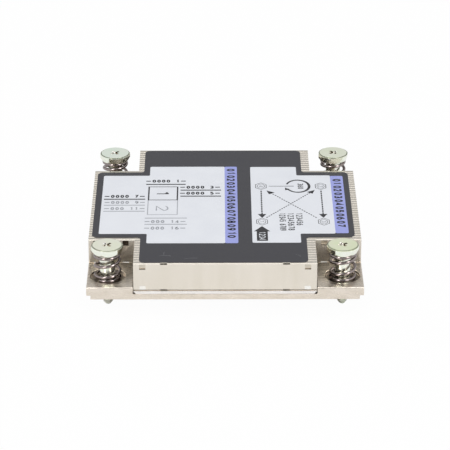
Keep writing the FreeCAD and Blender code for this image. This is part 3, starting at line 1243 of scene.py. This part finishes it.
@dataclass
class Label:
    """The print on the black film, sizes in millimetres seen from above."""

    film_top: float = 19.2
    ink: float = 0.02
    line: float = 0.012
    corner_radius: float = 0.6
    left_panel: tuple[Point, ...] = (
        (-43.5, -25.4),
        (-26.9, -25.4),
        (-26.9, -33.1),
        (0.1, -33.1),
        (0.1, 33.1),
        (-26.9, 33.1),
        (-26.9, 24.9),
        (-43.5, 24.9),
    )
    right_panel: tuple[Point, ...] = (
        (9.45, -32.8),
        (26.1, -32.8),
        (26.1, -25.4),
        (38.2, -25.4),
        (38.2, 25.0),
        (26.1, 25.0),
        (26.1, 32.8),
        (9.45, 32.8),
    )
    # Each bar: two corners, the Y of its first number, and how many numbers it has
    bars: tuple[tuple[Point, Point, float, int], ...] = (
        ((0.1, -33.1), (4.6, 33.1), 28.6, 10),
        ((38.2, -25.1), (42.75, 24.5), 19.2, 7),
    )
    bar_pitch: float = 6.1
    bar_number: Point = (5.1, 3.0)
    bar_stroke: float = 0.74
    # Each row: middle of its number in X, its Y, the number, and whether it is dark
    rows: tuple[tuple[float, float, str, bool], ...] = (
        (-21.0, 20.0, "0000 1", True),
        (-8.7, 14.5, "0000 3", True),
        (-8.7, 9.2, "0000 5", True),
        (-35.5, 6.5, "0000 7", True),
        (-35.3, 1.2, "0000 9", False),
        (-35.3, -4.1, "000 11", False),
        (-20.8, -15.2, "000 14", False),
        (-20.8, -20.7, "000 16", False),
    )
    row_number: Point = (9.8, 2.5)
    row_stroke: float = 0.52
    # The dash on either side of a row's number: near end, far end and width
    row_dash: Triple = (5.4, 7.1, 0.7)
    # Each rule: where it starts and ends in X, its Y, and whether it is dark
    rules: tuple[tuple[float, float, float, bool], ...] = (
        (-28.1, -13.9, 17.1, True),
        (-15.7, -1.2, 11.9, True),
        (-15.7, -1.2, 6.6, True),
        (-42.8, -28.1, 4.0, True),
        (-42.6, -28.1, -1.2, False),
        (-42.6, -28.1, -6.4, False),
        (-27.9, -13.2, -12.3, False),
        (-27.9, -13.2, -17.5, False),
    )
    dark_rule: float = 0.8
    grey_rule: float = 0.6
    # The two boxes, one over the other: their sides in X, and their levels in Y from the bottom up
    box_sides: Point = (-27.2, -16.5)
    box_levels: Triple = (-9.5, 3.1, 15.1)
    # A hair's breadth that keeps the corners of the strokes apart
    seam: float = 0.01
    nuts: tuple[tuple[float, float, str], ...] = (
        (13.1, 15.3, "4"),
        (34.5, 15.2, "2"),
        (13.0, -15.4, "1"),
        (34.5, -15.5, "3"),
    )
    arrows: tuple[DashedArrow, ...] = (
        DashedArrow((13.1, 11.3), (13.1, -12.2), 0.48, 1.5, 0.4, neck=2.8, head_width=3.0),
        DashedArrow((34.5, 11.3), (34.5, -12.2), 0.48, 1.5, 0.4, neck=2.8, head_width=3.0),
        DashedArrow((14.6, -12.1), (32.3, 11.9), 0.42, 0.8, 0.5, neck=2.4, head_width=2.5),
        DashedArrow((32.1, -12.2), (15.0, 11.5), 0.42, 0.8, 0.5, neck=2.4, head_width=2.5),
    )
    # Each column: its X, the Y of its top, its length, and the number
    columns: tuple[tuple[float, float, float, str], ...] = (
        (26.1, -8.1, 10.4, "123456"),
        (23.1, -8.1, 14.6, "12345678"),
        (20.2, -8.3, 14.6, "12345 6789"),
    )
    column_height: float = 2.3
    column_stroke: float = 0.42
    start_arrow: tuple[Point, ...] = (
        (11.0, -31.3),
        (14.8, -31.3),
        (14.8, -23.5),
        (15.7, -23.5),
        (12.9, -19.2),
        (10.0, -23.5),
        (11.0, -23.5),
    )
    # Each scuff: the centre and the radius of its bend, where it runs in degrees, and its width
    scuffs: tuple[tuple[Point, float, Point, float], ...] = (
        ((-20.5, -47.0), 4.2, (60.0, 118.0), 0.09),
        ((-11.0, -52.5), 7.5, (78.0, 112.0), 0.08),
        ((-17.8, -41.6), 3.0, (150.0, 205.0), 0.05),
        ((23.0, -44.6), 2.6, (15.0, 75.0), 0.05),
    )
    # A scuff's width at its end as a share of its width at its start
    scuff_fade: float = 0.4

    def make_fields(self, finishes: Finishes) -> None:
        """Print the pale panels and the blue bars.

        Args:
            finishes: The materials.
        """
        panels = InkLayer("label_pale_panels", self.film_top, self.ink)
        for corners in (self.left_panel, self.right_panel):
            panels.polygon(list(corners), self.corner_radius)
        panels.finish(finishes.pale_ink)
        bars = InkLayer("label_blue_bars", self.film_top, self.ink)
        for low, high, _, _ in self.bars:
            bars.rectangle(low, high, self.corner_radius)
        bars.finish(finishes.blue_ink)

    def draw_rows(self, dark: InkLayer, grey: InkLayer) -> None:
        """Print the numbered rows and the rules under them.

        Args:
            dark: The dark ink.
            grey: The grey ink.
        """
        near, far, width = self.row_dash
        for middle, y, text, is_dark in self.rows:
            layer = dark if is_dark else grey
            layer.number(text, (middle, y), self.row_number, 0, self.row_stroke)
            layer.stroke((middle - far, y), (middle - near, y), width)
            layer.stroke((middle + near, y), (middle + far, y), width)
        for start, end, y, is_dark in self.rules:
            layer = dark if is_dark else grey
            layer.stroke((start, y), (end, y), self.dark_rule if is_dark else self.grey_rule)

    def draw_box(self, layer: InkLayer, levels: Point, side: float, bar: float, has_top: bool) -> None:
        """Print a box of strokes that nearly meet.

        Args:
            layer: The ink.
            levels: Its bottom and top in Y.
            side: Width of the strokes at its sides.
            bar: Width of the strokes at its bottom and top.
            has_top: Whether it has a stroke at its top.
        """
        left, right = self.box_sides
        low, high = levels
        inner_left = left + side + self.seam
        inner_right = right - side - self.seam
        layer.rectangle((left, low), (left + side, high))
        layer.rectangle((right - side, low), (right, high))
        layer.rectangle((inner_left, low), (inner_right, low + bar))
        if has_top:
            layer.rectangle((inner_left, high - bar), (inner_right, high))

    def draw_boxes(self, dark: InkLayer, grey: InkLayer) -> None:
        """Print the two boxes between the rows, with a pointer in one and a number in the other.

        Args:
            dark: The dark ink.
            grey: The grey ink.
        """
        bottom, middle, top = self.box_levels
        self.draw_box(dark, (middle, top), 0.5, 0.45, True)
        self.draw_box(grey, (bottom, middle), 0.3, 0.35, False)
        dark.stroke((-24.1, 8.7), (-19.8, 8.7), 0.6)
        dark.polygon([(-19.8, 8.99), (-20.5, 10.3), (-21.3, 8.99)])
        grey.number("2", (-22.0, -3.9), (4.4, 4.5), DOWNWARDS, 0.5)

    def draw_turn(self, dark: InkLayer, grey: InkLayer) -> None:
        """Print the arrow that turns round, with a number and a short line in it.

        Args:
            dark: The dark ink.
            grey: The grey ink.
        """
        centre, radius = (26.3, 15.3), (4.1, 5.4)
        thin, thick = 0.7, 1.0
        dark.arc(centre, radius, (thin, thick), (-155.0, 0.0))
        dark.arc(centre, radius, (thick, thin), (0.0, 161.0))
        dark.arrow_head((21.7, 14.1), (-0.4, 1.0), 2.2, 1.7)
        dark.number("360", (27.3, 15.3), (4.8, 2.1), DOWNWARDS, 0.4)
        dark.stroke((15.9, 15.3), (21.6, 15.3), 0.35)
        grey.stroke((21.6, 15.3), (24.9, 15.3), 0.8)

    def draw_steps(self, dark: InkLayer, grey: InkLayer) -> None:
        """Print the order in which the screws are driven: four nuts, the arrows between them and columns.

        Args:
            dark: The dark ink.
            grey: The grey ink.
        """
        for x, y, text in self.nuts:
            dark.loop((x, y), (2.3, 3.1), 6, 0.22)
            dark.loop((x, y), (1.4, 1.9), 18, 0.18)
            dark.number(text, (x, y), (1.3, 1.5), DOWNWARDS, 0.15)
        for arrow in self.arrows:
            arrow.draw(dark)
        self.draw_turn(dark, grey)
        for x, top, length, text in self.columns:
            size = (length, self.column_height)
            dark.number(text, (x, top - length / 2), size, DOWNWARDS, self.column_stroke)

    def draw_bars(self, dark: InkLayer) -> None:
        """Print plain numbers along the blue bars.

        Args:
            dark: The dark ink.
        """
        for low, high, first, count in self.bars:
            middle = (low[0] + high[0]) / 2
            for number in range(count):
                centre = (middle, first - self.bar_pitch * number)
                dark.number(f"{number + 1:02d}", centre, self.bar_number, DOWNWARDS, self.bar_stroke)

    def build(self, nodes: dict, finishes: Finishes) -> None:
        """Dress the film and print on it.

        Args:
            nodes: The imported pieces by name.
            finishes: The materials.
        """
        dress(nodes["label"], finishes.film)
        self.make_fields(finishes)
        top = self.film_top + self.ink
        dark = InkLayer("label_dark_print", top, self.line)
        grey = InkLayer("label_grey_print", top, self.line)
        white = InkLayer("label_white_print", top + self.line, self.line)
        self.draw_rows(dark, grey)
        self.draw_boxes(dark, grey)
        self.draw_steps(dark, grey)
        dark.polygon(list(self.start_arrow))
        white.number("1234", (12.9, -27.2), (6.6, 2.3), DOWNWARDS, 0.36)
        self.draw_bars(dark)
        dark.finish(finishes.dark_ink)
        grey.finish(finishes.grey_ink)
        white.finish(finishes.pale_ink)
        scuffs = InkLayer("label_scuffs", self.film_top, self.line)
        for centre, radius, angles, width in self.scuffs:
            scuffs.arc(centre, (radius, radius), (width, width * self.scuff_fade), angles)
        scuffs.finish(finishes.scuff)


# Metal body


class Tongue(Enum):
    """The tongues that show on the front fins."""

    UPPER = "upper"
    LOWER = "lower"
    DEEP = "deep"


@dataclass
class MetalBody:
    """The base plate, the heat spreader and the stack of fins, sizes in millimetres."""

    base_edge: float = 0.14
    spreader_edge: float = 0.06
    seat_radius: float = 6.1
    seat_z: Point = (9.4, 10.1)
    # How much the normal of a tongue leans up or down, at least and at most
    tongue_slope: Point = (0.2, 0.3)
    arm_front: float = -40.0

    def seat_faces(self, piece: bpy.types.Object) -> list[int]:
        """Find the faces of the round seats of the springs.

        Args:
            piece: The base or the spreader.

        Returns:
            The numbers of the faces.
        """
        low, high = self.seat_z
        centres = [Vector(place.axis) for place in Place]
        return [
            face.index
            for face in piece.data.polygons
            if low < face.center.z / MM < high
            and min((face.center.xy / MM - centre).length for centre in centres) < self.seat_radius
        ]

    def dress_tongues(self, node: bpy.types.Object, finishes: Finishes) -> None:
        """Give the pressed tongues that show painted light, each by where it is and how it leans: a painted
        highlight where they face up, painted shade where they face down, and a painted shadow on the upper
        ones of the left arm.

        Args:
            node: The fins of one node.
            finishes: The materials.
        """
        low, high = self.tongue_slope
        found = {tongue: [] for tongue in Tongue}
        for face in node.data.polygons:
            if face.normal.y > 0 or not low < abs(face.normal.z) < high:
                continue
            is_deep = face.center.y > self.arm_front * MM and face.center.x < 0
            upper = Tongue.DEEP if is_deep else Tongue.UPPER
            found[Tongue.LOWER if face.normal.z > 0 else upper].append(face.index)
        dress_faces(node, finishes.dull_tongue, found[Tongue.UPPER])
        dress_faces(node, finishes.bright_tongue, found[Tongue.LOWER])
        dress_faces(node, finishes.deep_tongue, found[Tongue.DEEP])

    def build(self, nodes: dict, finishes: Finishes) -> None:
        """Round the edges of the machined pieces and dress the fins.

        Args:
            nodes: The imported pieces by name.
            finishes: The materials.
        """
        for node, width, finish in (
            ("base_plate", self.base_edge, finishes.machined),
            ("heat_spreader", self.spreader_edge, finishes.spreader),
        ):
            piece = softened_copy(nodes[node], f"{node}_machined", width)
            dress(piece, finish)
            # The seats of the springs get the darker finish with painted shade.
            dress_faces(piece, finishes.seat, self.seat_faces(piece))
            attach(piece, "heatsink")
            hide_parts(node)
        for name, node in nodes.items():
            if "fin" in name:
                dress(node, finishes.sheet)
                self.dress_tongues(node, finishes)


# Stage


@dataclass(frozen=True)
class Card:
    """A plain card that shows in the metal's reflections and nowhere else.

    Its heading is in degrees to the right of the front, its height in degrees over the floor, its size in
    metres, and its brightness is 1 for white.
    """

    name: str
    heading: float
    height: float
    size: Point
    brightness: float


@dataclass(frozen=True)
class Lamp:
    """A square lamp: where it hangs and its side in metres, and its power in watts."""

    name: str
    place: Triple
    size: float
    watts: float


@dataclass
class Studio:
    """Floor, light and camera, sizes in metres."""

    camera_place: Triple = (-0.00334, -0.83495, 0.3916)
    camera_target: Triple = (0.00013, -0.0064, 0.01385)
    lens_mm: float = 206.93
    sensor_mm: float = 36.0
    clip: Point = (0.05, 20.0)
    floor_size: float = 6.0
    floor_colour: str = "#F4F4F4"
    # How much of what the camera sees of the floor is plain white
    floor_glow: float = 0.97
    world_light: float = 0.62
    card_distance: float = 1.5
    cards: tuple[Card, ...] = (
        Card("dark_card", 5.0, 29.0, (1.3, 0.9), 0.0),
        Card("grey_card", 180.0, 40.0, (3.0, 2.1), 0.5),
        Card("ceiling_card", 0.0, 78.0, (1.5, 1.3), 0.85),
        Card("left_card", -38.0, 42.0, (0.34, 2.0), 4.5),
        Card("right_card", 46.0, 42.0, (0.34, 2.0), 4.5),
    )
    lamps: tuple[Lamp, ...] = (
        Lamp("top_lamp", (0.0, 0.15, 1.0), 0.8, 2.0),
        Lamp("left_lamp", (-0.585, -0.806, 0.836), 0.35, 2.2),
        Lamp("right_lamp", (0.585, -0.806, 0.836), 0.35, 2.2),
    )

    def make_world(self) -> None:
        """Light from all sides, and a white background for the camera and in reflections."""
        world = bpy.data.worlds.new("studio")
        bpy.context.scene.world = world
        world.use_nodes = True
        tree = world.node_tree
        tree.nodes.clear()
        rays = add_node(tree, "ShaderNodeLightPath")
        seen = rays.outputs["Is Camera Ray"]
        for kind in ("Is Glossy Ray", "Is Transmission Ray"):
            inputs = {0: seen, 1: rays.outputs[kind]}
            seen = add_node(tree, "ShaderNodeMath", inputs, {"operation": "MAXIMUM"}).outputs["Value"]
        soft = add_node(tree, "ShaderNodeBackground", {"Color": WHITE, "Strength": self.world_light})
        white = add_node(tree, "ShaderNodeBackground", {"Color": WHITE, "Strength": 1.0})
        inputs = {0: seen, 1: soft.outputs["Background"], 2: white.outputs["Background"]}
        mixed = add_node(tree, "ShaderNodeMixShader", inputs)
        add_node(tree, "ShaderNodeOutputWorld", {"Surface": mixed.outputs["Shader"]})

    def make_floor(self) -> None:
        """A pale floor that looks white to the camera and keeps a faint shadow."""
        mesh = bmesh.new()
        bmesh.ops.create_grid(mesh, x_segments=1, y_segments=1, size=self.floor_size / 2)
        floor = make_object("floor", mesh)
        material, tree = new_material("white_paper")
        paper = add_node(tree, "ShaderNodeBsdfDiffuse", {"Color": to_linear(self.floor_colour)})
        glow = add_node(tree, "ShaderNodeEmission", {"Color": WHITE, "Strength": 1.0})
        rays = add_node(tree, "ShaderNodeLightPath")
        inputs = {0: rays.outputs["Is Camera Ray"], 1: self.floor_glow}
        share = add_node(tree, "ShaderNodeMath", inputs, {"operation": "MULTIPLY"})
        inputs = {0: share.outputs["Value"], 1: paper.outputs["BSDF"], 2: glow.outputs["Emission"]}
        mixed = add_node(tree, "ShaderNodeMixShader", inputs)
        add_node(tree, "ShaderNodeOutputMaterial", {"Surface": mixed.outputs["Shader"]})
        dress(floor, material)

    def set_up(self, item: bpy.types.Object, place: Triple) -> None:
        """Put a lamp or the camera in its place, turned towards the heat sink.

        Args:
            item: The lamp or camera.
            place: Where it goes.
        """
        item.location = place
        aim = Vector(self.camera_target) - Vector(place)
        item.rotation_euler = aim.to_track_quat("-Z", "Y").to_euler()
        bpy.context.scene.collection.objects.link(item)

    def make_lamp(self, lamp: Lamp) -> None:
        """Hang a lamp that faces the heat sink.

        Args:
            lamp: The lamp's values.
        """
        light = bpy.data.lights.new(lamp.name, "AREA")
        light.size = lamp.size
        light.energy = lamp.watts
        self.set_up(bpy.data.objects.new(lamp.name, light), lamp.place)

    def make_card(self, card: Card) -> None:
        """Stand up a card that faces the heat sink.

        Args:
            card: The card's values.
        """
        mesh = bmesh.new()
        bmesh.ops.create_grid(mesh, x_segments=1, y_segments=1, size=0.5)
        bmesh.ops.scale(mesh, vec=(card.size[0], card.size[1], 1.0), verts=mesh.verts)
        bmesh.ops.translate(mesh, vec=(0, 0, self.card_distance), verts=mesh.verts)
        tilt = Matrix.Rotation(math.radians(90 - card.height), 4, "X")
        turn = Matrix.Rotation(math.radians(card.heading), 4, "Z")
        bmesh.ops.transform(mesh, matrix=turn @ tilt, verts=mesh.verts)
        board = make_object(card.name, mesh)
        material, tree = new_material(f"{card.name}_board")
        glow = add_node(tree, "ShaderNodeEmission", {"Color": WHITE, "Strength": card.brightness})
        add_node(tree, "ShaderNodeOutputMaterial", {"Surface": glow.outputs["Emission"]})
        dress(board, material)
        board.visible_camera = False
        board.visible_diffuse = False
        board.visible_shadow = False

    def make_camera(self) -> None:
        """The camera of the photo: far off, a long lens, a little above the front."""
        data = bpy.data.cameras.new("camera")
        data.sensor_width = self.sensor_mm
        data.lens = self.lens_mm
        data.clip_start, data.clip_end = self.clip
        camera = bpy.data.objects.new("camera", data)
        self.set_up(camera, self.camera_place)
        bpy.context.scene.camera = camera

    def build(self) -> None:
        """Set the stage."""
        bpy.context.scene.view_settings.view_transform = "Standard"
        self.make_world()
        self.make_floor()
        for card in self.cards:
            self.make_card(card)
        for lamp in self.lamps:
            self.make_lamp(lamp)
        self.make_camera()


def main() -> None:
    """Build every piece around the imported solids."""
    logging.basicConfig(level=logging.INFO, format="%(message)s")
    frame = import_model()
    finishes = Finishes.make()
    nodes = frame["nodes"]
    MetalBody().build(nodes, finishes)
    LOG.info("metal body dressed")
    Label().build(nodes, finishes)
    LOG.info("label printed")
    corners = (
        CaptiveFastener(Place.FRONT_LEFT, head_turn=12.0, spring_start=-126.0),
        CaptiveFastener(Place.FRONT_RIGHT, head_turn=0.0, spring_start=115.0),
        CaptiveFastener(Place.REAR_LEFT, head_turn=7.0, spring_start=90.0),
        CaptiveFastener(Place.REAR_RIGHT, head_turn=11.0, spring_start=-36.0, worn_side=-1),
    )
    for corner in corners:
        corner.build(nodes, finishes)
        LOG.info("screw, spring and ring at %s", corner.place.label)
    Studio().build()
    LOG.info("stage set")


if __name__ == "__main__":
    main()
